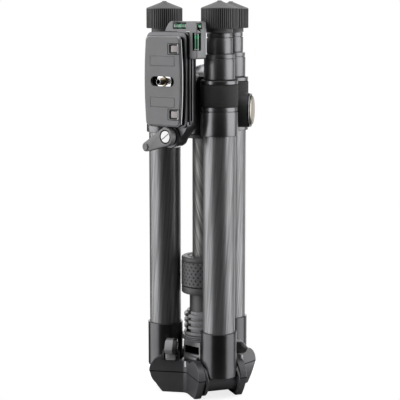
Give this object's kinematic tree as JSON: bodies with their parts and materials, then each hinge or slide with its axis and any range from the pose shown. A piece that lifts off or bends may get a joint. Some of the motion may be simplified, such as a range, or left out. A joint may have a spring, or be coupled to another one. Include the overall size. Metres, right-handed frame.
{
  "type": "travel tripod",
  "caption": "Folded camera tripod: three telescoping legs stand round a two-part column and a ball head with a quick-release plate.",
  "frame": {"origin": "on the column's axis, in the plane on which the folded tripod stands", "axes": "+Z from the hub to the feet and the head, -Y out of the quick-release plate's face"},
  "size_m": [0.1106, 0.1212, 0.37],
  "materials": {
    "hub_metal": "satin black paint",
    "casting_metal": "satin black paint",
    "carbon_tube": "clear-coated carbon fibre",
    "black_plastic": "fine-grained moulded plastic",
    "collar_plastic": "satin moulded plastic",
    "grip_rubber": "fine-textured rubber",
    "foot_rubber": "ribbed rubber",
    "pad_rubber": "soft pale rubber",
    "steel": "turned and plated",
    "bright_steel": "polished",
    "collet_plastic": "grey moulded plastic",
    "latch_metal": "satin anodised",
    "plate_plastic": "fine-grained moulded plastic",
    "vial": "green liquid vial"
  },
  "bodies": {
    "hub": {"hub_upper": "hub_metal", "hub_lower": "hub_metal", "hub_screws": "steel", "pivot_pins": "steel", "column_collet": "collet_plastic"},
    "lock_ring": {"column_lock_ring": "black_plastic"},
    "lower_column": {"lower_column": "casting_metal", "column_end_cap": "black_plastic"},
    "twist_lock": {"column_twist_lock": "black_plastic", "twist_lock_band": "grip_rubber"},
    "upper_column": {"upper_column": "carbon_tube", "head_base": "black_plastic"},
    "housing": {"ball_housing": "casting_metal"},
    "knob": {"lock_knob": "grip_rubber", "knob_bolt": "bright_steel"},
    "ball": {"ball_and_stem": "steel"},
    "clamp": {"clamp_body": "black_plastic", "level_bracket": "plate_plastic", "level_vials": "vial", "lever_bolt": "bright_steel"},
    "lever": {"release_lever": "plate_plastic"},
    "plate": {"quick_plate": "plate_plastic", "plate_pads": "pad_rubber"},
    "screw": {"camera_screw": "bright_steel"},
    "left_leg": {"left_casting": "casting_metal", "left_tube_1": "carbon_tube"},
    "left_latch": {"left_latch": "latch_metal"},
    "left_collar_1": {"left_collar_1": "collar_plastic"},
    "left_collar_2": {"left_collar_2": "grip_rubber"},
    "left_collar_3": {"left_collar_3": "collar_plastic"},
    "left_collar_4": {"left_collar_4": "collar_plastic"},
    "left_section_2": {"left_tube_2": "carbon_tube"},
    "left_section_3": {"left_tube_3": "carbon_tube"},
    "left_section_4": {"left_tube_4": "carbon_tube"},
    "left_section_5": {"left_tube_5": "carbon_tube", "left_foot": "foot_rubber"},
    "right_leg": {"right_casting": "casting_metal", "right_tube_1": "carbon_tube"},
    "right_latch": {"right_latch": "latch_metal"},
    "right_collar_1": {"right_collar_1": "collar_plastic"},
    "right_collar_2": {"right_collar_2": "grip_rubber"},
    "right_collar_3": {"right_collar_3": "collar_plastic"},
    "right_collar_4": {"right_collar_4": "collar_plastic"},
    "right_section_2": {"right_tube_2": "carbon_tube"},
    "right_section_3": {"right_tube_3": "carbon_tube"},
    "right_section_4": {"right_tube_4": "carbon_tube"},
    "right_section_5": {"right_tube_5": "carbon_tube", "right_foot": "foot_rubber"},
    "rear_leg": {"rear_casting": "casting_metal", "rear_tube_1": "carbon_tube"},
    "rear_latch": {"rear_latch": "latch_metal"},
    "rear_collar_1": {"rear_collar_1": "collar_plastic"},
    "rear_collar_2": {"rear_collar_2": "grip_rubber"},
    "rear_collar_3": {"rear_collar_3": "collar_plastic"},
    "rear_collar_4": {"rear_collar_4": "collar_plastic"},
    "rear_section_2": {"rear_tube_2": "carbon_tube"},
    "rear_section_3": {"rear_tube_3": "carbon_tube"},
    "rear_section_4": {"rear_tube_4": "carbon_tube"},
    "rear_section_5": {"rear_tube_5": "carbon_tube", "rear_foot": "foot_rubber"}
  },
  "joints": [
    {"name": "left_leg_fold", "type": "hinge", "parent": "hub", "child": "left_leg", "pos_m": [-0.03074, -0.01775, 0.018], "axis": [0.5, -0.866, 0], "range_deg": [0, 157]},
    {"name": "right_leg_fold", "type": "hinge", "parent": "hub", "child": "right_leg", "pos_m": [0.03074, -0.01775, 0.018], "axis": [0.5, 0.866, 0], "range_deg": [0, 157]},
    {"name": "rear_leg_fold", "type": "hinge", "parent": "hub", "child": "rear_leg", "pos_m": [0, 0.0355, 0.018], "axis": [-1, 0, 0], "range_deg": [0, 157]},
    {"name": "ball_spin", "type": "hinge", "parent": "ball", "child": "clamp", "pos_m": [0, -0.04, 0.2969], "axis": [0, -1, 0], "continuous": true},
    {"name": "ball_tilt", "type": "hinge", "parent": "housing", "child": "ball", "pos_m": [0, 0, 0.2969], "axis": [-1, 0, 0], "range_deg": [-1, 2]},
    {"name": "head_pan", "type": "hinge", "parent": "upper_column", "child": "housing", "pos_m": [0, 0, 0.25], "axis": [0, 0, 1], "range_deg": [-3, 3]},
    {"name": "upper_column_slide", "type": "slide", "parent": "lower_column", "child": "upper_column", "axis": [0, 0, 1], "range_m": [-0.065, 0]},
    {"name": "lower_column_slide", "type": "slide", "parent": "hub", "child": "lower_column", "axis": [0, 0, 1], "range_m": [-0.016, 0]},
    {"name": "lever_turn", "type": "hinge", "parent": "clamp", "child": "lever", "pos_m": [0.0036, -0.058, 0.2476], "axis": [0, -1, 0], "range_deg": [-30, 60]},
    {"name": "plate_lift", "type": "slide", "parent": "clamp", "child": "plate", "axis": [0, -1, 0], "range_m": [0, 0.015]},
    {"name": "camera_screw_turn", "type": "hinge", "parent": "plate", "child": "screw", "pos_m": [0, -0.06, 0.2975], "axis": [0, -1, 0], "continuous": true},
    {"name": "lock_knob_turn", "type": "hinge", "parent": "housing", "child": "knob", "pos_m": [0.02598, 0.015, 0.2689], "axis": [0.866, 0.5, 0], "range_deg": [0, 180]},
    {"name": "twist_lock_turn", "type": "hinge", "parent": "lower_column", "child": "twist_lock", "pos_m": [0, 0, 0.11], "axis": [0, 0, 1], "range_deg": [0, 120]},
    {"name": "lock_ring_turn", "type": "hinge", "parent": "hub", "child": "lock_ring", "pos_m": [0, 0, 0.051], "axis": [0, 0, 1], "range_deg": [0, 90]},
    {"name": "left_section_2_slide", "type": "slide", "parent": "left_leg", "child": "left_section_2", "axis": [0, 0, 1], "range_m": [0, 0.165]},
    {"name": "left_section_3_slide", "type": "slide", "parent": "left_section_2", "child": "left_section_3", "axis": [0, 0, 1], "range_m": [0, 0.188]},
    {"name": "left_section_4_slide", "type": "slide", "parent": "left_section_3", "child": "left_section_4", "axis": [0, 0, 1], "range_m": [0, 0.208]},
    {"name": "left_section_5_slide", "type": "slide", "parent": "left_section_4", "child": "left_section_5", "axis": [0, 0, 1], "range_m": [0, 0.228]},
    {"name": "left_latch_press", "type": "hinge", "parent": "hub", "child": "left_latch", "pos_m": [-0.01464, -0.03224, 0.0373], "axis": [0.866, 0.5, 0], "range_deg": [0, 12], "stiffness_Nm_per_rad": 0.2, "springref_deg": -5.73},
    {"name": "right_section_2_slide", "type": "slide", "parent": "right_leg", "child": "right_section_2", "axis": [0, 0, 1], "range_m": [0, 0.165]},
    {"name": "right_section_3_slide", "type": "slide", "parent": "right_section_2", "child": "right_section_3", "axis": [0, 0, 1], "range_m": [0, 0.188]},
    {"name": "right_section_4_slide", "type": "slide", "parent": "right_section_3", "child": "right_section_4", "axis": [0, 0, 1], "range_m": [0, 0.208]},
    {"name": "right_section_5_slide", "type": "slide", "parent": "right_section_4", "child": "right_section_5", "axis": [0, 0, 1], "range_m": [0, 0.228]},
    {"name": "right_latch_press", "type": "hinge", "parent": "hub", "child": "right_latch", "pos_m": [0.03524, 0.00344, 0.0373], "axis": [-0.866, 0.5, 0], "range_deg": [0, 12], "stiffness_Nm_per_rad": 0.2, "springref_deg": -5.73},
    {"name": "rear_section_2_slide", "type": "slide", "parent": "rear_leg", "child": "rear_section_2", "axis": [0, 0, 1], "range_m": [0, 0.165]},
    {"name": "rear_section_3_slide", "type": "slide", "parent": "rear_section_2", "child": "rear_section_3", "axis": [0, 0, 1], "range_m": [0, 0.188]},
    {"name": "rear_section_4_slide", "type": "slide", "parent": "rear_section_3", "child": "rear_section_4", "axis": [0, 0, 1], "range_m": [0, 0.208]},
    {"name": "rear_section_5_slide", "type": "slide", "parent": "rear_section_4", "child": "rear_section_5", "axis": [0, 0, 1], "range_m": [0, 0.228]},
    {"name": "rear_latch_press", "type": "hinge", "parent": "hub", "child": "rear_latch", "pos_m": [-0.0206, 0.0288, 0.0373], "axis": [0, -1, 0], "range_deg": [0, 12], "stiffness_Nm_per_rad": 0.2, "springref_deg": -5.73},
    {"name": "left_collar_1_turn", "type": "hinge", "parent": "left_leg", "child": "left_collar_1", "pos_m": [-0.03334, -0.01925, 0.26], "axis": [0, 0, 1], "range_deg": [0, 90]},
    {"name": "left_collar_2_turn", "type": "hinge", "parent": "left_section_2", "child": "left_collar_2", "pos_m": [-0.03334, -0.01925, 0.286], "axis": [0, 0, 1], "range_deg": [0, 90]},
    {"name": "left_collar_3_turn", "type": "hinge", "parent": "left_section_3", "child": "left_collar_3", "pos_m": [-0.03334, -0.01925, 0.31], "axis": [0, 0, 1], "range_deg": [0, 90]},
    {"name": "left_collar_4_turn", "type": "hinge", "parent": "left_section_4", "child": "left_collar_4", "pos_m": [-0.03334, -0.01925, 0.332], "axis": [0, 0, 1], "range_deg": [0, 90]},
    {"name": "right_collar_1_turn", "type": "hinge", "parent": "right_leg", "child": "right_collar_1", "pos_m": [0.03334, -0.01925, 0.26], "axis": [0, 0, 1], "range_deg": [0, 90]},
    {"name": "right_collar_2_turn", "type": "hinge", "parent": "right_section_2", "child": "right_collar_2", "pos_m": [0.03334, -0.01925, 0.286], "axis": [0, 0, 1], "range_deg": [0, 90]},
    {"name": "right_collar_3_turn", "type": "hinge", "parent": "right_section_3", "child": "right_collar_3", "pos_m": [0.03334, -0.01925, 0.31], "axis": [0, 0, 1], "range_deg": [0, 90]},
    {"name": "right_collar_4_turn", "type": "hinge", "parent": "right_section_4", "child": "right_collar_4", "pos_m": [0.03334, -0.01925, 0.332], "axis": [0, 0, 1], "range_deg": [0, 90]},
    {"name": "rear_collar_1_turn", "type": "hinge", "parent": "rear_leg", "child": "rear_collar_1", "pos_m": [0, 0.0385, 0.26], "axis": [0, 0, 1], "range_deg": [0, 90]},
    {"name": "rear_collar_2_turn", "type": "hinge", "parent": "rear_section_2", "child": "rear_collar_2", "pos_m": [0, 0.0385, 0.286], "axis": [0, 0, 1], "range_deg": [0, 90]},
    {"name": "rear_collar_3_turn", "type": "hinge", "parent": "rear_section_3", "child": "rear_collar_3", "pos_m": [0, 0.0385, 0.31], "axis": [0, 0, 1], "range_deg": [0, 90]},
    {"name": "rear_collar_4_turn", "type": "hinge", "parent": "rear_section_4", "child": "rear_collar_4", "pos_m": [0, 0.0385, 0.332], "axis": [0, 0, 1], "range_deg": [0, 90]}
  ]
}
